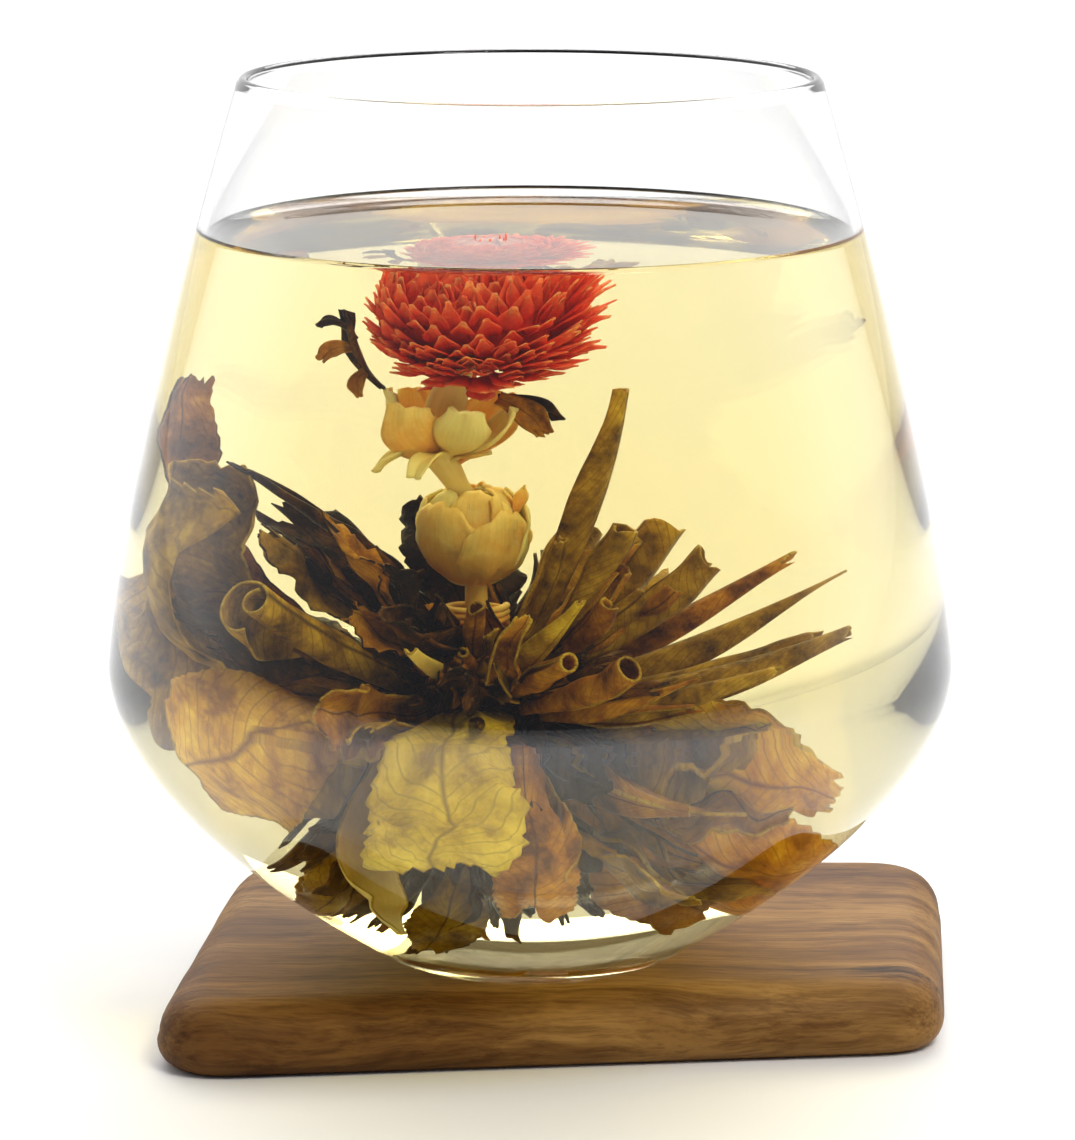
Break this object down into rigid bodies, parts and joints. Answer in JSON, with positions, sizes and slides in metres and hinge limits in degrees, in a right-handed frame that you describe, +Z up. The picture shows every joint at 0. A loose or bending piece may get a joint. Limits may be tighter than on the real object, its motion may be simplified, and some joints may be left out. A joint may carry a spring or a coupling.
{
  "type": "glass of blooming tea",
  "caption": "Stemless clear glass tumbler filled with pale tea and an opened blooming-tea flower, standing on a small wooden serving board.",
  "frame": {"origin": "on the glass's axis, at the underside of the board that it stands on", "axes": "+Z up along the glass's axis, -Y towards the side that the flower faces, +X to the right"},
  "size_m": [0.1065, 0.104, 0.118],
  "materials": {
    "board_wood": "satin",
    "clear_glass": "polished",
    "tea_liquid": "gloss",
    "green_leaf": "satin",
    "brown_leaf": "satin",
    "dark_leaf": "satin",
    "pale_stem": "satin",
    "jasmine_petal": "satin",
    "amaranth_bract": "satin",
    "cotton_thread": "matte"
  },
  "bodies": {
    "board": {"serving_board": "board_wood"},
    "glass": {"tumbler": "clear_glass"},
    "infusion": {"tea": "tea_liquid", "bound_heart": "dark_leaf", "binding_thread": "cotton_thread", "tall_needle": "green_leaf", "right_needle_1": "green_leaf", "right_needle_2": "green_leaf", "right_needle_3": "green_leaf", "right_needle_4": "green_leaf", "right_needle_5": "brown_leaf", "rolled_tip_1": "green_leaf", "rolled_tip_2": "green_leaf", "rolled_tip_3": "green_leaf", "rolled_tip_4": "green_leaf", "rolled_tip_5": "green_leaf", "rolled_tip_6": "green_leaf", "front_needle": "green_leaf", "hooked_leaf": "brown_leaf", "tan_roll": "brown_leaf", "serrated_leaf_right": "brown_leaf", "long_flat_leaf": "green_leaf", "low_leaf_right_1": "brown_leaf", "low_leaf_right_2": "brown_leaf", "wall_leaf_left": "green_leaf", "scroll_leaf": "green_leaf", "curled_leaf_1": "dark_leaf", "curled_leaf_2": "dark_leaf", "curled_leaf_3": "dark_leaf", "arch_leaf": "dark_leaf", "zigzag_leaf": "dark_leaf", "level_leaf": "dark_leaf", "dark_leaf_1": "dark_leaf", "dark_leaf_2": "dark_leaf", "dark_leaf_3": "dark_leaf", "dark_leaf_4": "dark_leaf", "dark_leaf_5": "dark_leaf", "ragged_leaf_left": "brown_leaf", "grey_bud": "pale_stem", "midrib_leaf_left": "brown_leaf", "front_leaf": "green_leaf", "pale_sprout": "pale_stem", "brown_leaf": "brown_leaf", "bottom_leaf_1": "dark_leaf", "bottom_leaf_2": "brown_leaf", "bottom_leaf_3": "dark_leaf", "back_leaf_1": "dark_leaf", "back_leaf_2": "green_leaf", "back_leaf_3": "dark_leaf", "back_leaf_4": "green_leaf", "back_leaf_5": "brown_leaf", "settled_leaf_1": "brown_leaf", "settled_leaf_2": "brown_leaf", "settled_leaf_3": "brown_leaf"},
    "flower": {"flower_stem": "pale_stem", "lower_jasmine": "jasmine_petal", "upper_jasmine": "jasmine_petal", "amaranth_head": "amaranth_bract", "head_leaf_left": "dark_leaf", "head_leaf_right": "dark_leaf"}
  },
  "joints": [
    {"name": "glass_lift", "type": "slide", "parent": "board", "child": "glass", "axis": [0, 0, 1], "range_m": [0, 0.15]},
    {"name": "infusion_swirl", "type": "hinge", "parent": "glass", "child": "infusion", "pos_m": [0, 0, 0.05], "axis": [0, 0, 1], "continuous": true},
    {"name": "flower_sway", "type": "hinge", "parent": "infusion", "child": "flower", "pos_m": [-0.005, -0.002, 0.053], "axis": [0, 1, 0], "range_deg": [-8, 8], "stiffness_Nm_per_rad": 0.006}
  ]
}
